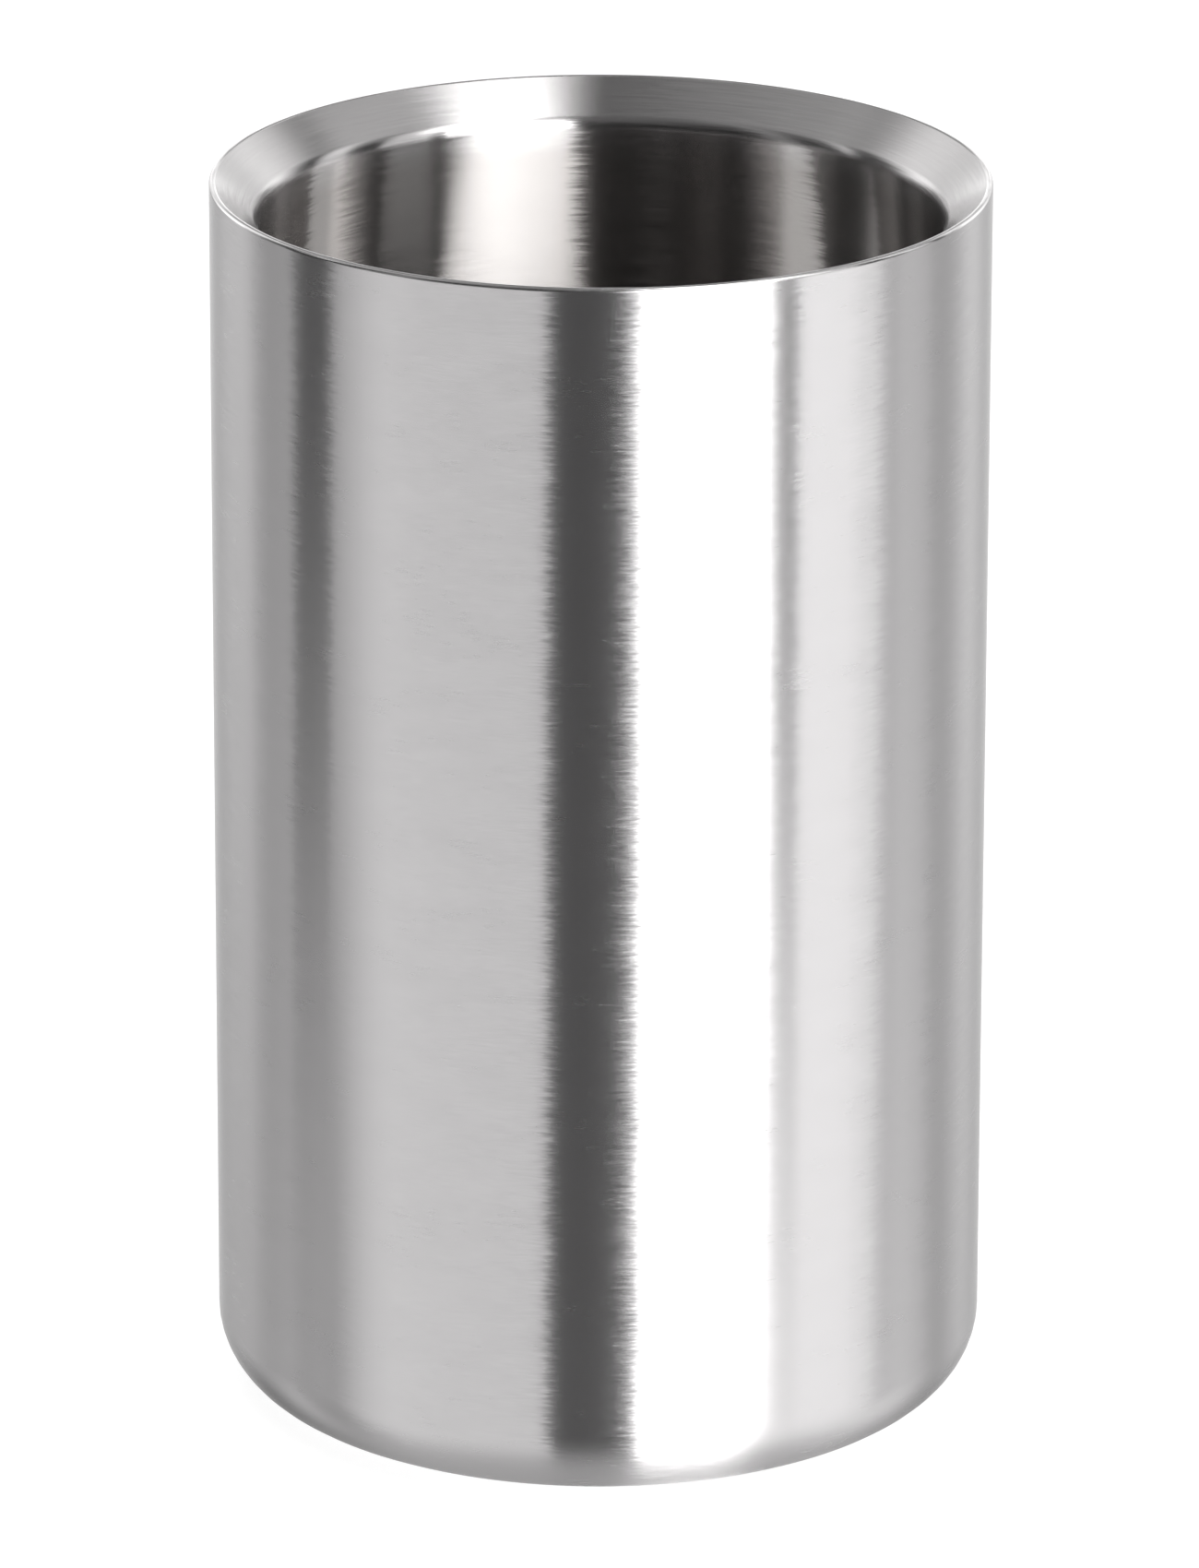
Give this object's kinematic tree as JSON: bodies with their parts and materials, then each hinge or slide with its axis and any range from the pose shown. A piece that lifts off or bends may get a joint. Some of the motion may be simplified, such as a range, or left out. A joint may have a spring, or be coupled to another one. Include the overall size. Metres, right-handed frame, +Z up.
{
  "type": "bottle cooler",
  "caption": "Double-walled cylindrical bottle cooler in brushed stainless steel, with a funnel mouth, a straight bottle well, a rounded base edge and a soft pad under the base",
  "frame": {"origin": "centre of the base, in the plane that the cooler stands on", "axes": "+Z is up, along the axis of the cooler and its longest side; +X is to the right and -Y is the front, and as the piece is round they are interchangeable"},
  "size_m": [0.12, 0.12, 0.196],
  "materials": {
    "shell_steel": "satin, brushed round the axis",
    "liner_steel": "satin, turned round the axis",
    "seam_steel": "polished weld bead",
    "cover_steel": "plain pressed sheet",
    "weld_steel": "as welded",
    "pad_rubber": "matte soft foam rubber"
  },
  "bodies": {
    "root": {"outer_shell": "shell_steel", "inner_liner": "liner_steel", "lip_seam": "seam_steel", "base_cover": "cover_steel", "base_seam": "weld_steel", "base_pad": "pad_rubber"}
  },
  "joints": []
}
